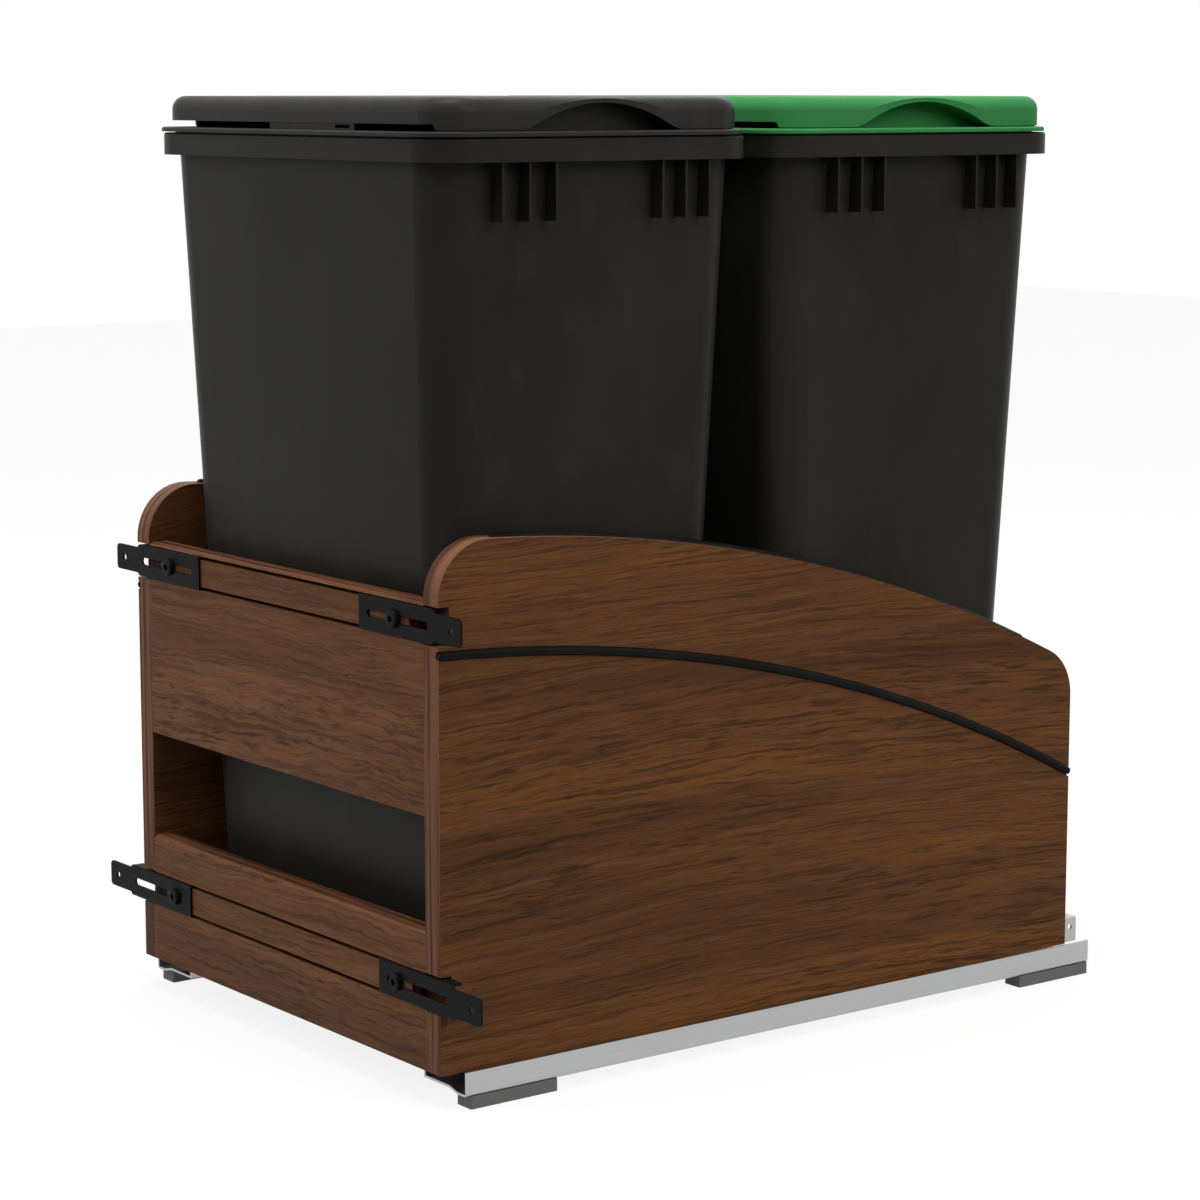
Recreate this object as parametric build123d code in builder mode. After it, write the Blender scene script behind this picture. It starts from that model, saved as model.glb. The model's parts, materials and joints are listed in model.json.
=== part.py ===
"""Pull-out waste cabinet insert: a plywood tray on full-extension slides, with two
tapered bins, two lift-off lids and four sliding door brackets.

Millimetres, +Z up.  X = 0 is the middle of the tray, the door side faces -Y, and
Z = 0 is the cabinet floor that the slide feet stand on.
"""
import os
from math import asin, degrees, sqrt

from build123d import *

os.makedirs("parts", exist_ok=True)

# ---------------------------------------------------------------- driving dimensions
# tray woodwork
tray_width = 366.0
tray_depth = 533.0
ply = 15.9
tray_lift = 22.0            # cabinet floor to the underside of the tray sides
edge_crown = 330.2          # highest point of the curved top edge, above the tray base
edge_crown_back = -2.6      # where that point lies, behind the tray front
edge_radius = 1186.0
corner_radius = 36.0
bottom_board_height = 88.5
window_height = 71.8
top_board_height = 132.0
board_round = 4.0
back_board_height = 130.0
floor_thickness = 9.0
floor_tongue = 6.0          # how far the floor panel enters its grooves
slide_recess = 12.7         # from the tray base up to the floor panel

# black trim rods, one in each top edge and one in each outer face
rod_radius = 2.75
rod_fit = 0.25
top_rod_proud = 2.3
top_rod_start = 43.0        # behind the tray front
top_rod_end_inset = 41.0    # in front of the tray back
side_rod_crown = 261.3      # highest point of the side rod's arc, above the tray base
side_rod_crown_back = -25.8
side_rod_radius = 1209.0

# dowels that join the boards to the sides
dowel_radius = 4.0
dowel_fit = 0.05
dowel_in_board = 20.0
dowel_in_side = 10.0
top_dowel_inset = 25.0      # from the top board's lower edge to its first dowel
top_dowel_pitch = 50.0
bottom_dowel_offset = 22.0  # each side of the lower bracket's middle
back_dowel_inset = 20.0     # from the back board's top to its first dowel
back_dowel_pitch = 60.0

# door brackets
bracket_height = 22.0
bracket_steel = 1.5
bracket_gap = 0.2           # bracket plate to the wood
bracket_wide_length = 82.5
bracket_tab_length = 28.5
bracket_tab_height = 17.4
bracket_neck = 2.0
bracket_corner = 3.0
flange_depth = 6.5
flange_stop = 3.0           # the flanges end this far short of the neck
slot_start = 9.3            # from the bracket's inner end
slot_length = 67.0
slot_height = 5.0
door_hole_radius = 2.3
door_hole_inset = 10.4      # from the tab's outer end
upper_bracket_drop = 13.8   # bracket's middle below its board's top edge
lower_bracket_drop = 38.1
upper_bracket_tail = 39.0   # inner end of the bracket to its screw
lower_bracket_tail = 20.0
kerf_depth = 8.0
kerf_play = 0.9             # kerf height above the flange thickness
kerf_pocket_length = 15.5   # open pocket between the kerfs at each end of a board
kerf_pocket_depth = 11.0
notch_play = 1.0            # side notch above and below the bracket

# bracket screws
screw_inset = 30.1          # from the board's end
screw_head_radius = 5.7
screw_head_height = 2.8
screw_shank_radius = 2.2
screw_depth = 11.0
screw_fit = 0.05
screw_hex = 4.0

# slides
steel = 1.5
middle_steel = 1.2
run_gap = 0.3
rail_set_back = 13.5
rail_overlength = 2.0       # rail length beyond the tray's depth
rail_outset = 7.5           # rail wall outside the tray's side
rail_flat_width = 9.5
rail_ramp_width = 9.0
rail_lip_inset = 4.2        # rail's inner lip, outside the drawer member's inner wall
rail_step = 2.3
rail_wall_height = 15.9
rail_lip_height = 4.5
foot_height = 8.0
foot_width = 15.5
foot_length = 66.0
foot_front_offset = 3.5     # behind the rail's front end
floor_screw_radius = 2.25
floor_screw_inset = 33.0    # from each foot's front end
rivet_radius = 1.6
rivet_head_radius = 2.6
rivet_head_height = 1.0
rivet_inset = 12.0          # from each end of a foot
member_width = 27.0
member_side_gap = 0.3
member_wall_height = 17.7
member_set_back = 19.0      # behind the tray front
member_rear_reach = 27.0    # behind the tray's back
hook_radius = 2.8
hook_fit = 0.1
hook_depth = 10.0
hook_height = 8.0           # above the floor panel's top
hook_plate = 2.0
member_end_hole = 2.0
middle_set_back = 21.0
middle_shortfall = 55.0     # middle rail shorter than the cabinet rail
middle_top_width = 10.0
middle_foot_width = 16.0
low_roller_radius = 1.5
low_roller_length = 15.0
high_roller_radius = 2.0
high_roller_length = 9.0
cage_steel = 1.0
cage_length = 200.0
cage_rollers = 8
low_cage_set_back = 160.0
high_cage_set_back = 180.0
low_cage_width = 22.0
high_cage_width = 19.0
cage_margin = 1.2

# front locks that clip the tray to the slides
lock_width = 42.0
lock_depth = 46.0
lock_height = 11.0
lock_wall = 3.3
lock_mouth_margin = 8.0
lever_thickness = 3.8
lever_width = 12.0
lever_reach = 34.0
lever_play = 0.3
lever_pin_radius = 2.0
lever_pin_fit = 0.05
lever_pin_inset = 19.8      # from the slide member
lock_screw_radius = 1.6
lock_screw_head_radius = 3.2
lock_screw_head_height = 1.5
lock_screw_margin = 4.0
lock_screw_bite = 6.0       # into the floor panel

# bins, two along the tray
bin_side_gap = 9.6          # rim inside the tray's outer side
bin_rim_gap = 17.7          # from rim to rim
bin_taper_x = 21.7          # mouth wider than the base, on each side
bin_taper_y = 20.6
bin_base_corner = 22.0
bin_corner = 25.0
bin_height = 547.0
bin_wall = 2.5
bin_floor = 3.0
rim_overhang_x = 12.5
rim_overhang_y = 6.5
rim_corner = 30.0
rim_depth = 14.5
rim_skin = 2.5
rim_round = 1.6
fin_thickness = 1.6
fin_height = 36.0           # below the rim
fin_groups = ((-55.5, 20.0), (65.0, 18.5))  # middle and pitch of each group of three

# lids
lid_lift = 0.8              # the bead that the lid rests on
lid_flange = 3.0
lid_overlap = 1.5           # flange beyond the rim, at the sides and the door side
lid_back_inset = 1.8        # flange inside the rim, at the back
flange_round = 1.5
lid_height = 20.4           # dome above the flange
lid_wall = 2.5
dome_inset_x = 5.5          # dome inside the rim
dome_inset_y = 5.8
dome_round = 9.0
groove_height = 0.8         # shadow line around the foot of the dome
groove_depth = 1.2
lid_ledge_x = 25.5          # rim to the opening in the lid's underside
lid_ledge_y = 26.5
skirt_depth = 10.0
skirt_play = 1.0
skirt_thickness = 2.0
scoop_offset = 2.3          # behind the lid's middle
scoop_rise = 17.0
scoop_radius = 106.0
scoop_flare = 34.0          # radius at the arch's feet
scoop_depth = 18.0
brow_rise = 19.6            # flat face above the arch, where the dome's edge is rounded
brow_radius = 168.0
slot_gap = 4.3              # long gap between dome and flange on the door side
slot_right = 11.0           # its right end, inside the dome's side
slot_turn_depth = 28.0      # how far it turns along the left side
slot_slant = 2.0
stop_left_inset = 140.4     # stop behind the gap, from the dome's left side
stop_right_inset = 96.4     # from the dome's right side
stop_back = 1.2
stop_height = 2.0           # above the gap
stop_window_inset = 5.5
stop_window_width = 16.0
stop_window_low = 1.2
stop_window_height = 2.0

# ---------------------------------------------------------------- worked-out places
front_stack = bracket_gap + bracket_steel + screw_fit + screw_head_height
overall_depth = front_stack + tray_depth + member_rear_reach
tray_front = front_stack - overall_depth / 2
tray_back = tray_front + tray_depth
side_outer = tray_width / 2
side_inner = side_outer - ply
floor_under = tray_lift + slide_recess
floor_top = floor_under + floor_thickness
board_back = tray_front + ply
window_bottom = tray_lift + bottom_board_height
top_board_bottom = window_bottom + window_height
top_board_top = top_board_bottom + top_board_height
upper_bracket_z = top_board_top - upper_bracket_drop
lower_bracket_z = window_bottom - lower_bracket_drop
back_front = tray_back - ply
back_board_top = tray_lift + back_board_height
screw_x = side_inner - screw_inset
plate_back = tray_front - bracket_gap
plate_front = plate_back - bracket_steel
rail_outer_x = side_outer + rail_outset
rail_length = tray_depth + rail_overlength
rail_front = tray_front + rail_set_back
rail_back = rail_front + rail_length
rail_flat_top = foot_height + steel
shelf_top = rail_flat_top + rail_step
middle_base = shelf_top + 2 * (run_gap + low_roller_radius)
member_top = floor_under
member_under = member_top - steel
middle_top = member_under - 2 * (run_gap + high_roller_radius)
member_outer = side_inner - member_side_gap
member_inner = member_outer - member_width
member_middle = (member_outer + member_inner) / 2
rail_inner_x = member_inner + rail_lip_inset
middle_length = rail_length - middle_shortfall
bin_pitch = tray_depth / 2
bin_middles = {
    "front": tray_front + bin_pitch / 2,
    "rear": tray_back - bin_pitch / 2,
}
rim_top = floor_top + bin_height
rim_half_x = side_outer - bin_side_gap
rim_half_y = (bin_pitch - bin_rim_gap) / 2
bin_mouth_half_x = rim_half_x - rim_overhang_x
bin_mouth_half_y = rim_half_y - rim_overhang_y
bin_half_x = bin_mouth_half_x - bin_taper_x
bin_half_y = bin_mouth_half_y - bin_taper_y
flange_under = rim_top + lid_lift
flange_top = flange_under + lid_flange
flange_half_x = rim_half_x + lid_overlap
flange_half_y = rim_half_y + (lid_overlap - lid_back_inset) / 2
flange_shift = -(lid_overlap + lid_back_inset) / 2      # flange's middle, from the bin's
flange_corner = rim_corner + lid_overlap
dome_half_x = rim_half_x - dome_inset_x
dome_half_y = rim_half_y - dome_inset_y
dome_corner = rim_corner - dome_inset_x
lid_top = flange_top + lid_height

pieces = {}                 # node name: finished part


# ---------------------------------------------------------------- small helpers
def block(x_range, y_range, z_range, mode=Mode.ADD):
    """A box between two corners, in the part being built."""
    middle = [(low + high) / 2 for low, high in (x_range, y_range, z_range)]
    size = [high - low for low, high in (x_range, y_range, z_range)]
    with Locations(tuple(middle)):
        Box(*size, mode=mode)


def upright(x, y, z_range, radius, mode=Mode.ADD):
    """A vertical round, in the part being built."""
    with Locations((x, y, (z_range[0] + z_range[1]) / 2)):
        Cylinder(radius, z_range[1] - z_range[0], mode=mode)


def across(x_range, y, z, radius, mode=Mode.ADD):
    """A round whose axis runs along X, in the part being built."""
    with Locations(((x_range[0] + x_range[1]) / 2, y, z)):
        Cylinder(radius, x_range[1] - x_range[0], rotation=(0, 90, 0), mode=mode)


def along(x, y_range, z, radius, mode=Mode.ADD):
    """A round whose axis runs along Y, in the part being built."""
    with Locations((x, (y_range[0] + y_range[1]) / 2, z)):
        Cylinder(radius, y_range[1] - y_range[0], rotation=(90, 0, 0), mode=mode)


def rounded_slab(z_low, z_high, half_x, half_y, corner, y_middle, mode=Mode.ADD):
    """A flat slab with rounded corners, in the part being built."""
    with BuildSketch(Plane.XY.offset(z_low)) as slab:
        with Locations((0, y_middle)):
            RectangleRounded(2 * half_x, 2 * half_y, corner)
    extrude(slab.sketch, amount=z_high - z_low, mode=mode)


def keep_pair(name, right):
    """Keep a right-hand part and its mirror image as two nodes."""
    with BuildPart() as left:
        mirror(right.part, about=Plane.YZ)
    pieces[name + "_right"] = right
    pieces[name + "_left"] = left


def curve_height(back, crown_height, crown_back, radius):
    """Height above the floor of a shallow arc, at a distance behind the tray front."""
    return tray_lift + crown_height - radius + sqrt(radius**2 - (back - crown_back) ** 2)


def curve_points(start, end, crown_height, crown_back, radius):
    """Start, middle and end of such an arc, as (Y, Z)."""
    stations = (start, (start + end) / 2, end)
    return [(tray_front + s, curve_height(s, crown_height, crown_back, radius)) for s in stations]


top_edge = (edge_crown, edge_crown_back, edge_radius)
side_rod_arc = (side_rod_crown, side_rod_crown_back, side_rod_radius)
top_rod_sink = rod_radius - top_rod_proud
top_rod_arc = (edge_crown - top_rod_sink, edge_crown_back, edge_radius - top_rod_sink)
side_middle = (side_outer + side_inner) / 2
top_rod_end = tray_depth - top_rod_end_inset


def rod_along(x, points, radius, mode=Mode.ADD):
    """A round rod swept along an arc in a plane across X."""
    with BuildLine(Plane.YZ.offset(x)) as route:
        ThreePointArc(*points)
    with BuildSketch(Plane(origin=route.line @ 0, z_dir=route.line % 0)) as section:
        Circle(radius)
    sweep(sections=section.sketch, path=route.line, mode=mode)


# ---------------------------------------------------------------- tray sides
bracket_levels = (upper_bracket_z, lower_bracket_z)
notch_half = bracket_height / 2 + notch_play
first_top_dowel = top_board_bottom + top_dowel_inset
first_back_dowel = back_board_top - back_dowel_inset
top_dowel_levels = (first_top_dowel, first_top_dowel + top_dowel_pitch)
bottom_dowel_levels = (lower_bracket_z - bottom_dowel_offset, lower_bracket_z + bottom_dowel_offset)
back_dowel_levels = (first_back_dowel - back_dowel_pitch, first_back_dowel)
front_dowel_y = tray_front + ply / 2
back_dowel_y = tray_back - ply / 2
dowel_rows = (
    [(front_dowel_y, level) for level in top_dowel_levels + bottom_dowel_levels]
    + [(back_dowel_y, level) for level in back_dowel_levels]
)

with BuildPart() as side_panel:
    with BuildSketch(Plane.YZ.offset(side_inner)) as side_outline:
        with BuildLine():
            edge = ThreePointArc(*curve_points(0, tray_depth, *top_edge))
            Polyline(edge @ 0, (tray_front, tray_lift), (tray_back, tray_lift), edge @ 1)
        make_face()
        fillet(side_outline.vertices().sort_by(Axis.Y)[-2:], radius=corner_radius)
    extrude(amount=ply)
    for level in bracket_levels:
        block((side_inner, side_outer), (tray_front, tray_front + kerf_depth),
              (level - notch_half, level + notch_half), Mode.SUBTRACT)
    block((side_inner, side_inner + floor_tongue),
          (board_back - floor_tongue, back_front + floor_tongue),
          (floor_under, floor_top), Mode.SUBTRACT)
    for y, level in dowel_rows:
        across((side_inner, side_inner + dowel_in_side), y, level, dowel_radius + dowel_fit,
               Mode.SUBTRACT)
    rod_along(side_outer, curve_points(-rod_radius, tray_depth + rod_radius, *side_rod_arc),
              rod_radius + rod_fit, Mode.SUBTRACT)
    rod_along(side_middle, curve_points(top_rod_start, top_rod_end, *top_rod_arc),
              rod_radius + rod_fit, Mode.SUBTRACT)
keep_pair("side_panel", side_panel)

# ---------------------------------------------------------------- trim rods
with BuildPart() as side_trim:
    rod_along(side_outer, curve_points(0, tray_depth, *side_rod_arc), rod_radius)
    fillet(side_trim.faces().filter_by(GeomType.PLANE).edges(), radius=0.8 * rod_radius)
keep_pair("side_trim", side_trim)

with BuildPart() as top_trim:
    rod_along(side_middle,
              curve_points(top_rod_start + rod_fit, top_rod_end - rod_fit, *top_rod_arc),
              rod_radius)
    fillet(top_trim.faces().filter_by(GeomType.PLANE).edges(), radius=0.8 * rod_radius)
keep_pair("top_trim", top_trim)


# ---------------------------------------------------------------- front and back boards
def cut_bracket_track(level):
    """Two kerfs for the bracket flanges, end pockets and screw holes in a board."""
    flange_middle = (bracket_height - bracket_steel) / 2
    kerf_half = (bracket_steel + kerf_play) / 2
    for offset in (-flange_middle, flange_middle):
        block((-side_inner, side_inner), (tray_front, tray_front + kerf_depth),
              (level + offset - kerf_half, level + offset + kerf_half), Mode.SUBTRACT)
    pocket_half = flange_middle + kerf_half
    for end in (-1, 1):
        ends = sorted((end * side_inner, end * (side_inner - kerf_pocket_length)))
        block(ends, (tray_front, tray_front + kerf_pocket_depth),
              (level - pocket_half, level + pocket_half), Mode.SUBTRACT)
        along(end * screw_x, (tray_front, tray_front + screw_depth + screw_fit), level,
              screw_shank_radius + screw_fit, Mode.SUBTRACT)


def drill_dowels(y, levels):
    """Dowel holes in both ends of a board."""
    for level in levels:
        for end in (-1, 1):
            ends = sorted((end * (side_inner - dowel_in_board), end * side_inner))
            across(ends, y, level, dowel_radius + dowel_fit, Mode.SUBTRACT)


with BuildPart() as top_board:
    block((-side_inner, side_inner), (tray_front, board_back), (top_board_bottom, top_board_top))
    fillet(top_board.edges().filter_by(Axis.X).group_by(Axis.Z)[-1], radius=board_round)
    cut_bracket_track(bracket_levels[0])
    drill_dowels(front_dowel_y, top_dowel_levels)
pieces["top_front_board"] = top_board

with BuildPart() as bottom_board:
    block((-side_inner, side_inner), (tray_front, board_back), (tray_lift, window_bottom))
    fillet(bottom_board.edges().filter_by(Axis.X).group_by(Axis.Z)[-1], radius=board_round)
    cut_bracket_track(bracket_levels[1])
    drill_dowels(front_dowel_y, bottom_dowel_levels)
    block((-side_inner, side_inner), (board_back - floor_tongue, board_back),
          (floor_under, floor_top), Mode.SUBTRACT)
pieces["bottom_front_board"] = bottom_board

slide_notch_inner = member_inner - 2 * member_side_gap
hook_z = floor_top + hook_height

with BuildPart() as back_board:
    block((-side_inner, side_inner), (back_front, tray_back),
          (tray_lift, back_board_top))
    fillet(back_board.edges().filter_by(Axis.X).group_by(Axis.Z)[-1], radius=board_round)
    block((-side_inner, side_inner), (back_front, back_front + floor_tongue),
          (floor_under, floor_top), Mode.SUBTRACT)
    drill_dowels(back_dowel_y, back_dowel_levels)
    for end in (-1, 1):
        block(sorted((end * slide_notch_inner, end * side_inner)), (back_front, tray_back),
              (tray_lift, member_top), Mode.SUBTRACT)
        along(end * member_middle, (tray_back - hook_depth - hook_fit, tray_back), hook_z,
              hook_radius + hook_fit, Mode.SUBTRACT)
pieces["back_board"] = back_board

# ---------------------------------------------------------------- front lock places
lock_outer = member_inner
lock_inner = lock_outer - lock_width
lock_top = floor_under
lock_base = lock_top - lock_height
lock_back = board_back + lock_depth
lever_pin_x = lock_outer - lever_pin_inset
lever_pin_y = board_back + lock_depth / 2
mouth_low = lock_base + lock_wall
mouth_high = mouth_low + lever_thickness + 2 * lever_play
lock_screw_ys = (board_back + lock_screw_margin, lock_back - lock_screw_margin)
lock_screw_top = floor_under + lock_screw_bite

with BuildPart() as floor_panel:
    block((-side_inner - floor_tongue, side_inner + floor_tongue),
          (board_back - floor_tongue, back_front + floor_tongue), (floor_under, floor_top))
    for end in (-1, 1):
        for y in lock_screw_ys:
            upright(end * lever_pin_x, y, (floor_under, lock_screw_top + screw_fit),
                    lock_screw_radius + screw_fit, Mode.SUBTRACT)
pieces["floor_panel"] = floor_panel

with BuildPart() as board_dowels:
    for y, level in dowel_rows:
        for end in (-1, 1):
            ends = (end * (side_inner - dowel_in_board + dowel_fit),
                    end * (side_inner + dowel_in_side - dowel_fit))
            across(sorted(ends), y, level, dowel_radius)
pieces["board_dowels"] = board_dowels


# ---------------------------------------------------------------- door brackets
def door_bracket(inner, level):
    """Right-hand bracket: slotted plate, two folded flanges and a tab for the door."""
    neck = inner + bracket_wide_length
    end = neck + bracket_tab_length
    half = bracket_height / 2
    tab_half = bracket_tab_height / 2
    outline = [
        (inner, -half), (neck - bracket_neck, -half), (neck, -tab_half), (end, -tab_half),
        (end, tab_half), (neck, tab_half), (neck - bracket_neck, half), (inner, half),
    ]
    plate_plane = Plane(origin=(0, plate_back, level), x_dir=(1, 0, 0), z_dir=(0, -1, 0))
    with BuildPart() as bracket:
        with BuildSketch(plate_plane) as plate:
            with BuildLine():
                Polyline(*outline, close=True)
            make_face()
            fillet(plate.vertices().sort_by(Axis.X)[-2:], radius=bracket_corner)
            with Locations((inner + slot_start + slot_length / 2, 0)):
                SlotOverall(slot_length, slot_height, mode=Mode.SUBTRACT)
            with Locations((end - door_hole_inset, 0)):
                Circle(door_hole_radius, mode=Mode.SUBTRACT)
        extrude(amount=bracket_steel)
        for low in (-half, half - bracket_steel):
            block((inner, neck - flange_stop), (plate_back, tray_front + flange_depth),
                  (level + low, level + low + bracket_steel))
        long_edges = bracket.edges().filter_by(Axis.X).group_by(Axis.Y)[0].sort_by(Axis.Z)
        fillet([long_edges[0], long_edges[-1]], radius=0.8 * bracket_steel)
    return bracket


for place, tail, level in (
    ("upper", upper_bracket_tail, upper_bracket_z),
    ("lower", lower_bracket_tail, lower_bracket_z),
):
    keep_pair(f"door_bracket_{place}", door_bracket(screw_x - tail, level))

head_back = plate_front - screw_fit
with BuildPart() as bracket_screws:
    for level in bracket_levels:
        for end in (-1, 1):
            along(end * screw_x, (head_back - screw_head_height, head_back), level,
                  screw_head_radius)
    fillet(bracket_screws.edges().group_by(Axis.Y)[0], radius=screw_head_height / 2)
    for level in bracket_levels:
        for end in (-1, 1):
            along(end * screw_x, (head_back, tray_front + screw_depth), level,
                  screw_shank_radius)
            socket_plane = Plane(origin=(end * screw_x, head_back - screw_head_height, level),
                                 x_dir=(1, 0, 0), z_dir=(0, -1, 0))
            with BuildSketch(socket_plane):
                RegularPolygon(screw_hex / 2, 6, major_radius=False)
            extrude(amount=-screw_head_height / 2, mode=Mode.SUBTRACT)
pieces["bracket_screws"] = bracket_screws

# ---------------------------------------------------------------- cabinet rails
foot_outer = rail_outer_x
foot_inner = foot_outer - foot_width
foot_fronts = (rail_front + foot_front_offset, rail_back - foot_length)
rail_screw_x = rail_outer_x - steel - (rail_flat_width - steel) / 2
ramp_start = rail_outer_x - rail_flat_width
ramp_end = ramp_start - rail_ramp_width

with BuildPart() as cabinet_rail:
    rail_plane = Plane(origin=(0, rail_front, 0), x_dir=(1, 0, 0), z_dir=(0, -1, 0))
    wall_top = foot_height + rail_wall_height
    lip_top = foot_height + rail_step + rail_lip_height
    with BuildSketch(rail_plane) as rail_section:
        with BuildLine():
            Polyline(
                (rail_outer_x, wall_top), (rail_outer_x, foot_height),
                (ramp_start, foot_height), (ramp_end, foot_height + rail_step),
                (rail_inner_x, foot_height + rail_step), (rail_inner_x, lip_top),
                (rail_inner_x + steel, lip_top), (rail_inner_x + steel, shelf_top),
                (ramp_end, shelf_top), (ramp_start, rail_flat_top),
                (rail_outer_x - steel, rail_flat_top), (rail_outer_x - steel, wall_top),
                close=True,
            )
        make_face()
        fillet(rail_section.vertices().group_by(Axis.X)[-1].sort_by(Axis.Y)[0], radius=1.6 * steel)
    extrude(amount=-rail_length)
    for foot_front in foot_fronts:
        upright(rail_screw_x, foot_front + floor_screw_inset, (0, rail_flat_top),
                floor_screw_radius, Mode.SUBTRACT)
        for y in (foot_front + rivet_inset, foot_front + foot_length - rivet_inset):
            upright(rail_screw_x, y, (0, rail_flat_top), rivet_radius + screw_fit, Mode.SUBTRACT)
keep_pair("cabinet_rail", cabinet_rail)

for foot_name, foot_front in zip(("front", "rear"), foot_fronts):
    with BuildPart() as foot:
        block((foot_inner, foot_outer), (foot_front, foot_front + foot_length), (0, foot_height))
        chamfer(foot.edges().filter_by(Axis.Z), length=0.8)
        upright(rail_screw_x, foot_front + floor_screw_inset, (0, foot_height),
                floor_screw_radius, Mode.SUBTRACT)
        for y in (foot_front + rivet_inset, foot_front + foot_length - rivet_inset):
            upright(rail_screw_x, y, (rivet_head_height, foot_height),
                    rivet_radius + screw_fit, Mode.SUBTRACT)
    keep_pair(f"foot_{foot_name}", foot)

with BuildPart() as foot_rivets:
    for end in (-1, 1):
        for foot_front in foot_fronts:
            for y in (foot_front + rivet_inset, foot_front + foot_length - rivet_inset):
                upright(end * rail_screw_x, y, (rivet_head_height + screw_fit, rail_flat_top),
                        rivet_radius)
                upright(end * rail_screw_x, y,
                        (rail_flat_top, rail_flat_top + rivet_head_height), rivet_head_radius)
pieces["foot_rivets"] = foot_rivets

# ---------------------------------------------------------------- middle rails
with BuildPart() as middle_rail:
    middle_front = tray_front + middle_set_back
    y_range = (middle_front, middle_front + middle_length)
    top_half = middle_top_width / 2
    foot_half = middle_foot_width / 2
    block((member_middle - top_half, member_middle + top_half), y_range,
          (middle_top - middle_steel, middle_top))
    for end in (-1, 1):
        wall = sorted((member_middle + end * top_half,
                       member_middle + end * (top_half - middle_steel)))
        block(wall, y_range, (middle_base, middle_top))
        lip = sorted((member_middle + end * (top_half - middle_steel),
                      member_middle + end * foot_half))
        block(lip, y_range, (middle_base, middle_base + middle_steel))
keep_pair("middle_rail", middle_rail)


# ---------------------------------------------------------------- roller cages
def roller_stations(cage_front):
    """Y of each roller in a cage."""
    pitch = cage_length / cage_rollers
    return [cage_front + pitch * (i + 0.5) for i in range(cage_rollers)]


def roller_cage(cage_front, x_range, z_middle, roller_x, roller_radius, roller_length):
    """A flat cage with a window for each roller, and the rollers in it."""
    window_x = (roller_x - roller_length / 2 - run_gap, roller_x + roller_length / 2 + run_gap)
    with BuildPart() as cage:
        block(x_range, (cage_front, cage_front + cage_length),
              (z_middle - cage_steel / 2, z_middle + cage_steel / 2))
        for y in roller_stations(cage_front):
            reach = roller_radius + run_gap
            block(window_x, (y - reach, y + reach), (z_middle - cage_steel, z_middle + cage_steel),
                  Mode.SUBTRACT)
    with BuildPart() as rollers:
        for y in roller_stations(cage_front):
            across((window_x[0] + run_gap, window_x[1] - run_gap), y, z_middle, roller_radius)
    return cage, rollers


low_cage_x = (rail_inner_x + steel + run_gap, rail_inner_x + steel + run_gap + low_cage_width)
low_roller_x = low_cage_x[0] + cage_margin + run_gap + low_roller_length / 2
low_cage, low_rollers = roller_cage(
    tray_front + low_cage_set_back, low_cage_x, shelf_top + run_gap + low_roller_radius,
    low_roller_x, low_roller_radius, low_roller_length)
keep_pair("lower_cage", low_cage)
keep_pair("lower_rollers", low_rollers)

high_cage_x = (member_middle - high_cage_width / 2, member_middle + high_cage_width / 2)
high_cage, high_rollers = roller_cage(
    tray_front + high_cage_set_back, high_cage_x, middle_top + run_gap + high_roller_radius,
    member_middle, high_roller_radius, high_roller_length)
keep_pair("upper_cage", high_cage)
keep_pair("upper_rollers", high_rollers)

# ---------------------------------------------------------------- drawer members
with BuildPart() as drawer_member:
    member_back = tray_back + member_rear_reach
    member_y = (tray_front + member_set_back, member_back)
    member_base = member_top - member_wall_height
    block((member_inner, member_outer), member_y, (member_under, member_top))
    block((member_inner, member_inner + steel), member_y, (member_base, member_top))
    block((member_outer - steel, member_outer), member_y, (member_base, member_top))
    edges = drawer_member.edges().filter_by(Axis.Y).group_by(Axis.Z)[-1]
    fillet(edges, radius=0.8 * steel)
    block((member_middle - 2 * hook_radius, member_middle + 2 * hook_radius),
          (tray_back, tray_back + hook_plate), (member_under, hook_z + 2 * hook_radius))
    along(member_middle, (tray_back - hook_depth, tray_back), hook_z, hook_radius)
    across((member_outer - 2 * steel, member_outer + steel), member_back - 3 * member_end_hole,
           (member_base + member_top) / 2 + member_end_hole, member_end_hole, Mode.SUBTRACT)
keep_pair("drawer_member", drawer_member)

# ---------------------------------------------------------------- front locks
with BuildPart() as lock_housing:
    block((lock_inner, lock_outer), (board_back, lock_back), (lock_base, lock_top))
    block((lock_inner, lever_pin_x + lever_width / 2 + 2 * run_gap),
          (board_back + lock_mouth_margin, lock_back - lock_mouth_margin),
          (mouth_low, mouth_high), Mode.SUBTRACT)
    upright(lever_pin_x, lever_pin_y, (lock_base, lock_top), lever_pin_radius + lever_pin_fit,
            Mode.SUBTRACT)
    for y in lock_screw_ys:
        upright(lever_pin_x, y, (lock_base, lock_top), lock_screw_radius + screw_fit,
                Mode.SUBTRACT)
        upright(lever_pin_x, y, (lock_base, lock_base + lock_screw_head_height + screw_fit),
                lock_screw_head_radius + screw_fit, Mode.SUBTRACT)
keep_pair("lock_housing", lock_housing)

with BuildPart() as lock_lever:
    lever_base = mouth_low + lever_play
    with BuildSketch(Plane.XY.offset(lever_base)):
        with Locations((lever_pin_x - lever_reach / 2, lever_pin_y)):
            SlotOverall(lever_reach + lever_width, lever_width)
        with Locations((lever_pin_x, lever_pin_y)):
            Circle(lever_pin_radius + lever_pin_fit, mode=Mode.SUBTRACT)
    extrude(amount=lever_thickness)
keep_pair("lock_lever", lock_lever)

with BuildPart() as lock_pins:
    for end in (-1, 1):
        upright(end * lever_pin_x, lever_pin_y, (lock_base, lock_top - lever_pin_fit),
                lever_pin_radius)
pieces["lock_pins"] = lock_pins

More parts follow.
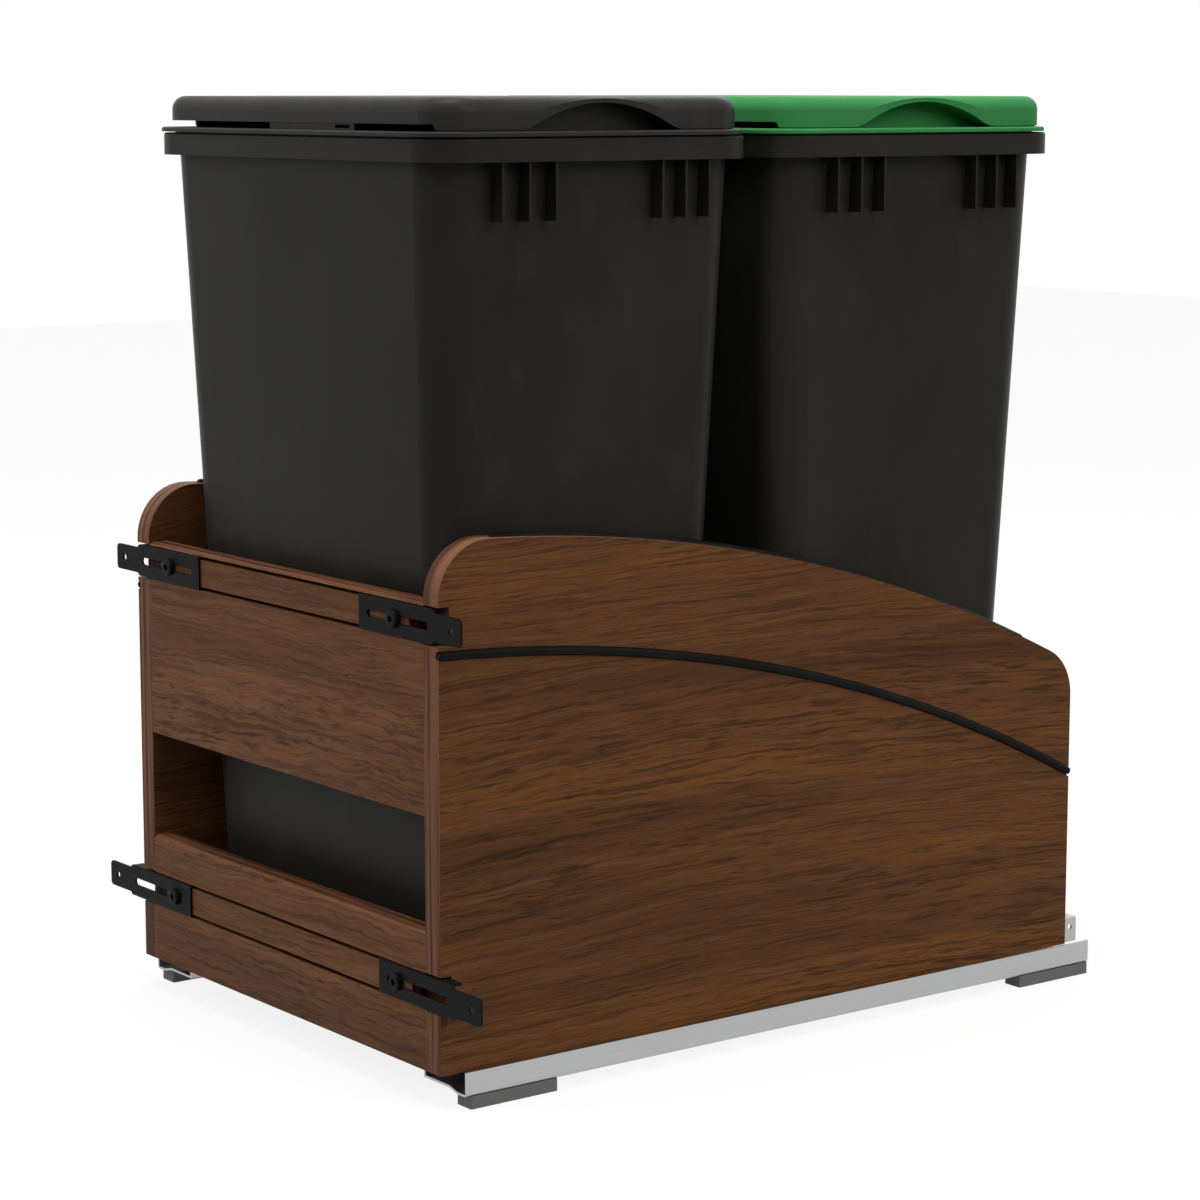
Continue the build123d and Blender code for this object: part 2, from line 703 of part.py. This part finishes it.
with BuildPart() as lock_screws:
    for end in (-1, 1):
        for y in lock_screw_ys:
            upright(end * lever_pin_x, y, (lock_base, lock_base + lock_screw_head_height),
                    lock_screw_head_radius)
            upright(end * lever_pin_x, y, (lock_base, lock_screw_top), lock_screw_radius)
pieces["lock_screws"] = lock_screws


# ---------------------------------------------------------------- bins
def bin_loft(z_low, inset, y_middle, mode):
    """The tapered body of a bin, inset by its wall for the hollow."""
    slope = (z_low - floor_top) / bin_height
    base_x = bin_half_x + (bin_mouth_half_x - bin_half_x) * slope - inset
    base_y = bin_half_y + (bin_mouth_half_y - bin_half_y) * slope - inset
    with BuildSketch(Plane.XY.offset(z_low)) as base:
        with Locations((0, y_middle)):
            RectangleRounded(2 * base_x, 2 * base_y, bin_base_corner - inset)
    with BuildSketch(Plane.XY.offset(rim_top)) as mouth:
        with Locations((0, y_middle)):
            RectangleRounded(2 * (bin_mouth_half_x - inset), 2 * (bin_mouth_half_y - inset),
                             bin_corner - inset)
    loft(sections=[base.sketch, mouth.sketch], ruled=True, mode=mode)


def waste_bin(y_middle):
    """One bin: tapered body, turned-down rim and fins under the rim."""
    rim_under = rim_top - rim_depth
    with BuildPart() as body:
        rounded_slab(rim_under, rim_top, rim_half_x, rim_half_y, rim_corner, y_middle)
        fillet(body.edges().group_by(Axis.Z)[-1], radius=rim_round)
        rounded_slab(rim_under, rim_top - rim_skin, rim_half_x - rim_skin,
                     rim_half_y - rim_skin, rim_corner - rim_skin, y_middle, Mode.SUBTRACT)
        bin_loft(floor_top, 0, y_middle, Mode.ADD)
        for side in (-1, 1):
            fin_x = sorted((side * (bin_mouth_half_x - 2 * bin_wall),
                            side * (rim_half_x - rim_skin)))
            for group_middle, fin_pitch in fin_groups:
                for step in (-1, 0, 1):
                    y = y_middle + group_middle + step * fin_pitch
                    block(fin_x, (y - fin_thickness / 2, y + fin_thickness / 2),
                          (rim_under - fin_height, rim_top - rim_skin))
        bin_loft(floor_top + bin_floor, bin_wall, y_middle, Mode.SUBTRACT)
    return body


# ---------------------------------------------------------------- lids
def arch_outline(y_middle, growth):
    """A bell-shaped arch on the flange: a round top with two flared feet."""
    crown = scoop_radius + growth
    foot = scoop_flare - growth
    rise = scoop_rise + growth
    reach = sqrt((crown + foot) ** 2 - (crown + foot - rise) ** 2)
    turn = degrees(asin(reach / (crown + foot)))
    left = JernArc((y_middle - reach, flange_top), (1, 0), foot, turn)
    top = JernArc(left @ 1, left % 1, crown, -2 * turn)
    right = JernArc(top @ 1, top % 1, foot, turn)
    Line(right @ 1, left @ 0)


def brow_outline(y_middle):
    """The shallow arc of the flat face above the arch."""
    half = sqrt(brow_radius**2 - (brow_radius - brow_rise) ** 2)
    top = ThreePointArc((y_middle - half, flange_top), (y_middle, flange_top + brow_rise),
                        (y_middle + half, flange_top))
    Line(top @ 1, top @ 0)


def in_both_ends(draw, x_range, mode):
    """An outline across Y, extruded over a range of X at both ends of a lid."""
    for side in (-1, 1):
        ends = sorted((side * x_range[0], side * x_range[1]))
        with BuildSketch(Plane.YZ.offset(ends[0])) as section:
            with BuildLine():
                draw()
            make_face()
        extrude(section.sketch, amount=ends[1] - ends[0], mode=mode)


def ring(z_low, z_high, half_x, half_y, corner, thickness, y_middle, mode=Mode.ADD):
    """A flat rounded ring, thickness wide inwards from its outer edge."""
    with BuildSketch(Plane.XY.offset(z_low)) as band:
        with Locations((0, y_middle)):
            RectangleRounded(2 * half_x, 2 * half_y, corner)
            RectangleRounded(2 * (half_x - thickness), 2 * (half_y - thickness),
                             corner - thickness, mode=Mode.SUBTRACT)
    extrude(band.sketch, amount=z_high - z_low, mode=mode)


def bin_lid(y_middle):
    """One lift-off lid: domed shell, flange, locating skirt, finger arches and front gap."""
    scoop_back = dome_half_x - scoop_depth
    scoop_y = y_middle + scoop_offset
    with BuildPart() as hollow:
        rounded_slab(flange_top, lid_top - lid_wall, dome_half_x - lid_wall,
                     dome_half_y - lid_wall, dome_corner - lid_wall, y_middle)
        fillet(hollow.edges().group_by(Axis.Z)[-1], radius=dome_round - lid_wall)
        in_both_ends(lambda: arch_outline(scoop_y, lid_wall),
                     (scoop_back - lid_wall, dome_half_x), Mode.SUBTRACT)
    with BuildPart() as flange:
        rounded_slab(flange_under, flange_top, flange_half_x, flange_half_y, flange_corner,
                     y_middle + flange_shift)
        fillet(flange.edges().group_by(Axis.Z)[-1], radius=flange_round)
    with BuildPart() as lid:
        rounded_slab(flange_top, lid_top, dome_half_x, dome_half_y, dome_corner, y_middle)
        fillet(lid.edges().group_by(Axis.Z)[-1], radius=dome_round)
        in_both_ends(lambda: brow_outline(scoop_y), (dome_half_x - dome_round, dome_half_x),
                     Mode.ADD)
        add(hollow.part, mode=Mode.SUBTRACT)
        in_both_ends(lambda: arch_outline(scoop_y, 0), (scoop_back, dome_half_x), Mode.SUBTRACT)
        dome_front = y_middle - dome_half_y
        slot_top = flange_top + slot_gap
        slot_end = dome_half_x - slot_right
        with BuildSketch(Plane.XZ.offset(-(dome_front + slot_turn_depth))):
            with BuildLine():
                Polyline((-dome_half_x, flange_top), (slot_end, flange_top),
                         (slot_end - slot_slant, slot_top), (-dome_half_x, slot_top), close=True)
            make_face()
        extrude(amount=slot_turn_depth, mode=Mode.SUBTRACT)
        ring(flange_top, flange_top + groove_height, dome_half_x, dome_half_y, dome_corner,
             groove_depth, y_middle, Mode.SUBTRACT)
        stop_x = (stop_left_inset - dome_half_x, dome_half_x - stop_right_inset)
        stop_y = (dome_front + stop_back, dome_front + stop_back + lid_wall)
        block(stop_x, stop_y, (flange_top, slot_top + stop_height))
        window_right = stop_x[1] - stop_window_inset
        window_low = flange_top + stop_window_low
        block((window_right - stop_window_width, window_right), stop_y,
              (window_low, window_low + stop_window_height), Mode.SUBTRACT)
        add(flange.part)
        skirt_x = bin_mouth_half_x - bin_wall - skirt_play
        skirt_y = bin_mouth_half_y - bin_wall - skirt_play
        skirt_corner = bin_corner - bin_wall - skirt_play
        ring(flange_under - skirt_depth, flange_under, skirt_x, skirt_y, skirt_corner,
             skirt_thickness, y_middle)
        rounded_slab(flange_under, flange_top, rim_half_x - lid_ledge_x,
                     rim_half_y - lid_ledge_y, dome_corner - skirt_thickness, y_middle,
                     Mode.SUBTRACT)
        ring(rim_top, flange_under, bin_mouth_half_x + bin_wall, bin_mouth_half_y + bin_wall,
             bin_corner + bin_wall, skirt_thickness, y_middle)
    return lid


for place, y_middle in bin_middles.items():
    pieces[f"bin_{place}"] = waste_bin(y_middle)
    pieces[f"lid_{place}"] = bin_lid(y_middle)

# ---------------------------------------------------------------- labels and files
for name, piece in pieces.items():
    piece.part.label = name
    export_step(piece.part, f"parts/{name}.step")
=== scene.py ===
"""Looks of a pull-out waste cabinet insert: finishes, studio and camera.

Metres, +Z up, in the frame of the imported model: the door side faces -Y.
"""
import json
from math import cos, radians, sin

import bpy
from mathutils import Matrix, Vector


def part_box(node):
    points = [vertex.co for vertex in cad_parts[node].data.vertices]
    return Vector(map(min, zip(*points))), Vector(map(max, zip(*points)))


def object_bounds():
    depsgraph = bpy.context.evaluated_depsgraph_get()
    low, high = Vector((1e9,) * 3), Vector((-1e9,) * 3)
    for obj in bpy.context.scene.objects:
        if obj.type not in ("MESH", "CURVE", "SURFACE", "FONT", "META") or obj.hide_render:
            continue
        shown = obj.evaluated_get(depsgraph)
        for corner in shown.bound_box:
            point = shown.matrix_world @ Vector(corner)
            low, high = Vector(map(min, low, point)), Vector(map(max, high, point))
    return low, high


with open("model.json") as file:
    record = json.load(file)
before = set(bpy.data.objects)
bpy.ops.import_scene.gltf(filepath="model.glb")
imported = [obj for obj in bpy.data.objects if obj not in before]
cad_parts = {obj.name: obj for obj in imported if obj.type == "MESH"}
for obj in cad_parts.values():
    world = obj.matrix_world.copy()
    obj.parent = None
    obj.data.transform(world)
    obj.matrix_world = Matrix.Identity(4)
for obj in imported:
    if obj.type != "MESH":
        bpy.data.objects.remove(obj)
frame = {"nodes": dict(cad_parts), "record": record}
cad_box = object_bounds()
nodes = frame["nodes"]

# ---------------------------------------------------------------- places, from the frame
panel_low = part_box("side_panel_right")[0]
tray_front = panel_low.y
tray_base = panel_low.z

# ---------------------------------------------------------------- camera
IMAGE_SIZE = 1200                 # pixels, both ways
FOCAL_PIXELS = 3316.0
SENSOR_WIDTH = 36.0
VIEW_AZIMUTH = radians(53.03)
VIEW_ELEVATION = radians(8.80)
VIEW_ROLL = radians(0.03)
EYE_RIGHT = 1.8077                # from the tray's middle
EYE_BEFORE = 1.1016               # from the tray's front
EYE_ABOVE = 0.5991                # from the tray's base


def make_camera():
    """The photograph's camera."""
    data = bpy.data.cameras.new("camera")
    data.sensor_width = SENSOR_WIDTH
    data.sensor_fit = "HORIZONTAL"
    data.lens = FOCAL_PIXELS / IMAGE_SIZE * SENSOR_WIDTH
    data.clip_start = 0.05
    data.clip_end = 60.0
    camera = bpy.data.objects.new("camera", data)
    bpy.context.scene.collection.objects.link(camera)
    forward = Vector((-sin(VIEW_AZIMUTH) * cos(VIEW_ELEVATION),
                      cos(VIEW_AZIMUTH) * cos(VIEW_ELEVATION),
                      -sin(VIEW_ELEVATION)))
    right = Vector((cos(VIEW_AZIMUTH), sin(VIEW_AZIMUTH), 0.0))
    up = right.cross(forward)
    turn = Matrix((right, up, -forward)).transposed().to_4x4()
    place = Vector((EYE_RIGHT, tray_front - EYE_BEFORE, tray_base + EYE_ABOVE))
    camera.matrix_world = Matrix.Translation(place) @ turn @ Matrix.Rotation(VIEW_ROLL, 4, "Z")
    bpy.context.scene.camera = camera


# ---------------------------------------------------------------- node helpers
def linear(code):
    """Linear colour of an sRGB hex code such as 'a0b1c2'."""
    levels = [int(code[i:i + 2], 16) / 255 for i in (0, 2, 4)]
    channels = (v / 12.92 if v <= 0.04045 else ((v + 0.055) / 1.055) ** 2.4 for v in levels)
    return (*channels, 1.0)


class Nodes:
    """Short calls for the nodes of one tree."""

    def __init__(self, tree):
        self.tree = tree

    def new(self, kind):
        return self.tree.nodes.new(kind)

    def link(self, source, target):
        self.tree.links.new(source, target)

    def put(self, value, socket):
        """A number, colour or another node's output goes into a socket."""
        if isinstance(value, bpy.types.NodeSocket):
            self.link(value, socket)
        else:
            socket.default_value = value

    def math(self, operation, a, b=0.0, c=0.0):
        node = self.new("ShaderNodeMath")
        node.operation = operation
        for value, socket in zip((a, b, c), node.inputs):
            self.put(value, socket)
        return node.outputs[0]

    def split(self, vector, axis):
        """One coordinate of a vector."""
        node = self.new("ShaderNodeSeparateXYZ")
        self.link(vector, node.inputs[0])
        return node.outputs["xyz".index(axis)]

    def remap(self, value, low, high, to_low=0.0, to_high=1.0):
        """Value from low..high to to_low..to_high, smoothly and clamped."""
        node = self.new("ShaderNodeMapRange")
        node.interpolation_type = "SMOOTHSTEP"
        for name, number in (("Value", value), ("From Min", low), ("From Max", high),
                             ("To Min", to_low), ("To Max", to_high)):
            self.put(number, node.inputs[name])
        return node.outputs["Result"]

    def seen(self):
        """1 for what the camera, gloss or glass shows, 0 for light on its way."""
        path = self.new("ShaderNodeLightPath")
        plain = self.math("MAXIMUM", path.outputs["Is Camera Ray"], path.outputs["Is Glossy Ray"])
        return self.math("MAXIMUM", plain, path.outputs["Is Transmission Ray"])


class Finish(Nodes):
    """A material on a principled shader, patterned in the object's own metres."""

    def __init__(self, name, roughness=0.5, metallic=0.0, specular=0.5):
        self.material = bpy.data.materials.new(name)
        self.material.use_nodes = True
        super().__init__(self.material.node_tree)
        self.shader = self.tree.nodes["Principled BSDF"]
        self.shader.inputs["Roughness"].default_value = roughness
        self.shader.inputs["Metallic"].default_value = metallic
        self.shader.inputs["Specular IOR Level"].default_value = specular
        self.place = self.new("ShaderNodeTexCoord").outputs["Object"]

    def noise(self, scale, detail=3.0, rough=0.55, place=None, w=0.0):
        """Noise from 0 to 1, with a scale per axis in cycles a metre."""
        stretch = self.new("ShaderNodeMapping")
        stretch.inputs["Scale"].default_value = scale
        self.link(place or self.place, stretch.inputs["Vector"])
        node = self.new("ShaderNodeTexNoise")
        node.noise_dimensions = "4D"
        node.inputs["Scale"].default_value = 1.0
        node.inputs["W"].default_value = w
        node.inputs["Detail"].default_value = detail
        node.inputs["Roughness"].default_value = rough
        self.link(stretch.outputs["Vector"], node.inputs["Vector"])
        return node.outputs["Fac"]

    def mix(self, factor, a, b):
        """Colour mix."""
        node = self.new("ShaderNodeMix")
        node.data_type = "RGBA"
        colours = [socket for socket in node.inputs if socket.type == "RGBA"]
        self.put(factor, node.inputs[0])
        self.put(a, colours[0])
        self.put(b, colours[1])
        return [socket for socket in node.outputs if socket.type == "RGBA"][0]

    def ramp(self, value, *stops):
        """Colour ramp of (position, colour)."""
        node = self.new("ShaderNodeValToRGB")
        elements = node.color_ramp.elements
        while len(elements) < len(stops):
            elements.new(1.0)
        for element, (position, colour) in zip(elements, stops):
            element.position = position
            element.color = colour
        self.link(value, node.inputs["Fac"])
        return node.outputs["Color"]

    def shift(self, place, amount, axis, distance=1.0):
        """Coordinates moved along an axis by an amount times a distance in metres."""
        node = self.new("ShaderNodeVectorMath")
        node.operation = "MULTIPLY_ADD"
        self.link(amount, node.inputs[0])
        node.inputs[1].default_value = tuple(distance if a == axis else 0.0 for a in "xyz")
        self.link(place, node.inputs[2])
        return node.outputs[0]

    def facing(self, axis):
        """How squarely a surface faces along one of the object's axes, 0 to 1."""
        turn = self.new("ShaderNodeVectorTransform")
        turn.vector_type = "NORMAL"
        turn.convert_from = "WORLD"
        turn.convert_to = "OBJECT"
        self.link(self.new("ShaderNodeNewGeometry").outputs["True Normal"], turn.inputs[0])
        return self.math("ABSOLUTE", self.split(turn.outputs[0], axis))

    def bump(self, height, distance, strength):
        """Surface relief from a height, with the distance in metres."""
        node = self.new("ShaderNodeBump")
        node.inputs["Distance"].default_value = distance
        node.inputs["Strength"].default_value = strength
        self.link(height, node.inputs["Height"])
        self.link(node.outputs["Normal"], self.shader.inputs["Normal"])

    def finish(self, colour, roughness=None):
        """The material, once its colour and, where it varies, its roughness are set."""
        self.put(colour, self.shader.inputs["Base Color"])
        if roughness is not None:
            self.put(roughness, self.shader.inputs["Roughness"])
        return self.material


# ---------------------------------------------------------------- materials
WOOD_INK = linear("2a1a11")       # the figure's darkest marks
WOOD_SPECULAR = 0.06
WOOD_WANDER = 0.055               # m, the grain's slow sway
WOOD_RELIEF = 0.00012             # m, the depth of the pores
POWDER_SPECULAR = 0.05


def scales(axis, along, across):
    """Noise scales: one along an axis, another across it."""
    return tuple(along if a == axis else across for a in "xyz")


def walnut(name, grain, through, seed, tones, band_and_shade_tones, bow=0.0, curl=0.004, dash=34.0):
    """Walnut veneer: broad bands, dark streaks, short dashes, threads, fibres and open pores.

    The figure runs along grain; bow (1/m) arches it and curl (m) makes it waver. dash is
    the dashes' count in a metre. Surfaces that don't face along through show the edge
    band, with fine straight lines; for the front boards its tones are darkened as painted shade.
    """
    dark, middle, light = tones
    across = [a for a in "xyz" if a not in (grain, through)][0]
    n = Finish(name, roughness=0.46, specular=WOOD_SPECULAR)

    def layer(number, along, sideways, detail, rough=0.55, place=None):
        """A layer of the figure, with its cycles in a metre along and across the grain."""
        return n.noise(scales(grain, along, sideways), detail, rough, place, seed + number)

    run = n.split(n.place, grain)
    place = n.shift(n.place, n.math("MULTIPLY", run, run), across, bow)
    place = n.shift(place, layer(0, 1.5, 6.0, 2.0), across, WOOD_WANDER)
    place = n.shift(place, layer(1, 26.0, 60.0, 4.0), across, curl)
    tone = layer(2, 1.4, 26.0, 6.0, 0.62, place)
    colour = n.ramp(tone, (0.28, dark), (0.50, middle), (0.70, light))
    busy = n.remap(layer(3, 2.4, 11.0, 2.0, place=place), 0.38, 0.62)
    streak = layer(4, 7.0, 260.0, 5.0, 0.7, place)
    colour = n.mix(n.remap(streak, 0.46, 0.32, 0.0, 0.45), colour, light)
    line = n.math("MULTIPLY", n.remap(streak, 0.56, 0.68), n.remap(busy, 0.0, 1.0, 0.20, 0.80))
    colour = n.mix(line, colour, WOOD_INK)
    dashes = layer(5, dash, 380.0, 2.0, place=place)
    mark = n.math("MULTIPLY", n.remap(dashes, 0.52, 0.66), n.remap(busy, 0.0, 1.0, 0.20, 0.62))
    colour = n.mix(mark, colour, WOOD_INK)
    thread = layer(9, 8.0, 560.0, 6.0, 0.72, place)
    colour = n.mix(n.remap(thread, 0.45, 0.33, 0.0, 0.35), colour, light)
    colour = n.mix(n.remap(thread, 0.53, 0.58, 0.0, 0.58), colour, WOOD_INK)
    fibre = layer(6, 22.0, 520.0, 3.0, 0.65, place)
    colour = n.mix(n.remap(fibre, 0.36, 0.60, 0.50, 0.0), colour, dark)
    pore = n.remap(layer(7, 60.0, 1150.0, 1.0, place=place), 0.60, 0.70)
    colour = n.mix(n.math("MULTIPLY", pore, 0.45), colour, WOOD_INK)
    ply = n.noise(scales(through, 330.0, 5.0), detail=4.0, w=seed + 8)
    band = n.ramp(ply, *zip((0.42, 0.50, 0.57), band_and_shade_tones))
    colour = n.mix(n.remap(n.facing(through), 0.55, 0.75), band, colour)
    relief = n.math("MULTIPLY_ADD", pore, -1.0, n.math("MULTIPLY", fibre, 0.4))
    n.bump(relief, WOOD_RELIEF, 0.7)
    return n.finish(colour, n.remap(streak, 0.3, 0.7, 0.40, 0.52))


def moulded(name, code, roughness, specular, pale="6a6966"):
    """Moulded plastic: fine spark-eroded grain, slow drift of sheen and a paler bloom."""
    n = Finish(name, roughness=roughness, specular=specular)
    drift = n.noise((6.0, 6.0, 3.0), detail=3.0, w=2.0)
    cloud = n.noise((38.0, 38.0, 22.0), detail=4.0, w=7.0)
    grain = n.noise((1400.0, 1400.0, 1400.0), detail=2.0, w=5.0)
    tone = n.mix(n.remap(drift, 0.35, 0.70, 0.0, 0.05), linear(code), linear(pale))
    tone = n.mix(n.remap(cloud, 0.50, 0.75, 0.0, 0.04), tone, linear(pale))
    n.bump(grain, 0.00004, 0.5)
    return n.finish(tone, n.remap(cloud, 0.3, 0.7, roughness - 0.04, roughness + 0.05))


def powder_coat(name, code, roughness):
    """Powder-coated steel: slight orange peel and a few paler specks."""
    n = Finish(name, roughness=roughness, specular=POWDER_SPECULAR)
    peel = n.noise((700.0, 700.0, 700.0), detail=2.0)
    speck = n.noise((90.0, 90.0, 90.0), detail=4.0, w=3.0)
    tone = n.mix(n.remap(speck, 0.60, 0.75, 0.0, 0.20), linear(code), linear("3a3835"))
    n.bump(peel, 0.00006, 0.5)
    return n.finish(tone, n.remap(speck, 0.3, 0.7, roughness - 0.05, roughness + 0.06))


def zinc_plate(name, code, roughness):
    """Roll-formed zinc-plated sheet: faint lines along the rail and a mottled sheen."""
    n = Finish(name, roughness=roughness, metallic=1.0)
    lines = n.noise((900.0, 6.0, 900.0), detail=3.0)
    mottle = n.noise((60.0, 25.0, 60.0), detail=4.0, w=4.0)
    tone = n.mix(n.remap(mottle, 0.35, 0.65, 0.0, 0.25), linear(code), linear("b7b9bb"))
    tone = n.mix(n.remap(lines, 0.45, 0.70, 0.0, 0.12), tone, linear("8f9193"))
    n.bump(lines, 0.00003, 0.4)
    return n.finish(tone, n.remap(mottle, 0.3, 0.7, roughness - 0.05, roughness + 0.07))


SIDE_TONES = (linear("543624"), linear("70492b"), linear("85572f"))
FRONT_TONES = (linear("563624"), linear("764d32"), linear("8c5e3e"))
# edge tones of the front boards, darker than the edge band elsewhere: painted shade on their
# upward edges, which the overhead light makes bright
FRONT_EDGE_TONES_PAINTED_SHADE = (linear("40261a"), linear("5c3826"), linear("714831"))
PALE_TONES = (linear("a98458"), linear("c09a6b"), linear("d2b082"))
BAND_TONES = (linear("4e3124"), linear("6c4632"), linear("7e5841"))

finishes = {
    "walnut_side": walnut("walnut_side", "y", "x", 5.4, SIDE_TONES, BAND_TONES, bow=0.12,
                          curl=0.006),
    # the front boards' edges take the darker tones: painted shade on their upward edges
    "walnut_front": walnut("walnut_front", "x", "y", 11.0, FRONT_TONES, FRONT_EDGE_TONES_PAINTED_SHADE,
                           curl=0.012, dash=60.0),
    "walnut_floor": walnut("walnut_floor", "x", "z", 23.0, FRONT_TONES, BAND_TONES),
    "dowel_wood": walnut("dowel_wood", "x", "y", 31.0, PALE_TONES, PALE_TONES),
    "trim_black": moulded("trim_black", "090908", 0.36, 0.05),
    "zinc_steel": zinc_plate("zinc_steel", "b0b0b0", 0.40),
    "roller_steel": zinc_plate("roller_steel", "a6a8aa", 0.25),
    "cage_plastic": moulded("cage_plastic", "cfcfc9", 0.45, 0.35, pale="dcdcd6"),
    "foot_grey": moulded("foot_grey", "747570", 0.50, 0.20, pale="8a8b86"),
    "lock_grey": moulded("lock_grey", "75777a", 0.48, 0.35, pale="8d8f92"),
    "lever_orange": moulded("lever_orange", "c05a22", 0.42, 0.35, pale="cf7a48"),
    "bracket_black": powder_coat("bracket_black", "100f0f", 0.44),
    "screw_black": powder_coat("screw_black", "131312", 0.38),
    "bin_black": moulded("bin_black", "262520", 0.38, 0.06),
    "lid_charcoal": moulded("lid_charcoal", "282724", 0.40, 0.09),
    "lid_green": moulded("lid_green", "3a824a", 0.48, 0.03, pale="4c9a5c"),
}


def dress_nodes():
    """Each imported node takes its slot's finish."""
    for entry in frame["record"]["subparts"]:
        mesh = nodes[entry["node"]]
        for slot in mesh.material_slots:
            slot.link = "OBJECT"
            slot.material = finishes[entry["material_slot"]]


# ---------------------------------------------------------------- studio
FLOOR_HALF = 6.0
FLOOR_GLOW = 0.86                 # share of plain white in what is seen of the floor
FLOOR_BOUNCE = linear("646463")   # the floor's colour for light on its way
FLOOR_SEEN = linear("fbfbfa")     # and where it is seen
AROUND = 0.24                     # light from around, where 1 is white
OVERHEAD = 0.80                   # light from overhead
SKY_LOW, SKY_HIGH = 0.25, 0.70    # heights between which the one turns into the other


def make_floor():
    """A plain pale floor: near white where it is seen, with the object's shadow."""
    mesh = bpy.data.meshes.new("floor")
    corners = [(x * FLOOR_HALF, y * FLOOR_HALF, cad_box[0].z) for x, y in
               ((-1, -1), (1, -1), (1, 1), (-1, 1))]
    mesh.from_pydata(corners, [], [(0, 1, 2, 3)])
    floor = bpy.data.objects.new("floor", mesh)
    bpy.context.scene.collection.objects.link(floor)
    n = Finish("floor_white", roughness=0.9, specular=0.1)
    seen = n.seen()
    n.finish(n.mix(seen, FLOOR_BOUNCE, FLOOR_SEEN))
    glow = n.new("ShaderNodeEmission")
    blend = n.new("ShaderNodeMixShader")
    n.link(n.math("MULTIPLY", seen, FLOOR_GLOW), blend.inputs[0])
    n.link(n.shader.outputs[0], blend.inputs[1])
    n.link(glow.outputs[0], blend.inputs[2])
    n.link(blend.outputs[0], n.tree.nodes["Material Output"].inputs["Surface"])
    mesh.materials.append(n.material)


def make_world():
    """A soft surround that lights more from overhead, and is white where it is seen."""
    world = bpy.data.worlds.new("studio")
    bpy.context.scene.world = world
    world.use_nodes = True
    n = Nodes(world.node_tree)
    height = n.split(n.new("ShaderNodeTexCoord").outputs["Generated"], "z")
    light = n.remap(height, SKY_LOW, SKY_HIGH, AROUND, OVERHEAD)
    seen = n.seen()
    background = n.tree.nodes["Background"]
    background.inputs["Color"].default_value = (1.0, 1.0, 1.0, 1.0)
    n.link(n.math("ADD", seen, n.math("MULTIPLY", n.math("SUBTRACT", 1.0, seen), light)),
           background.inputs["Strength"])


def area_lamp(name, place, target, size, power):
    """A soft rectangular lamp that looks at a point."""
    data = bpy.data.lights.new(name, "AREA")
    data.shape = "RECTANGLE"
    data.size, data.size_y = size
    data.energy = power
    lamp = bpy.data.objects.new(name, data)
    bpy.context.scene.collection.objects.link(lamp)
    lamp.location = place
    lamp.rotation_euler = (Vector(target) - Vector(place)).to_track_quat("-Z", "Y").to_euler()


def make_lamps():
    """One lamp overhead, fills on the door side and on the right, and a rim lamp behind."""
    middle = (0.0, 0.0, 0.3)
    area_lamp("overhead", (0.0, -0.3, 3.0), middle, (1.4, 1.4), 50.0)
    area_lamp("door_fill", (-0.8, -2.2, 1.8), middle, (1.4, 1.4), 16.0)
    area_lamp("side_fill", (2.1, 0.3, 1.6), middle, (1.2, 1.2), 19.0)
    area_lamp("rim", (-1.4, 2.2, 2.2), middle, (1.6, 1.2), 10.0)


make_camera()
dress_nodes()
make_floor()
make_world()
make_lamps()
bpy.context.scene.view_settings.view_transform = "Standard"
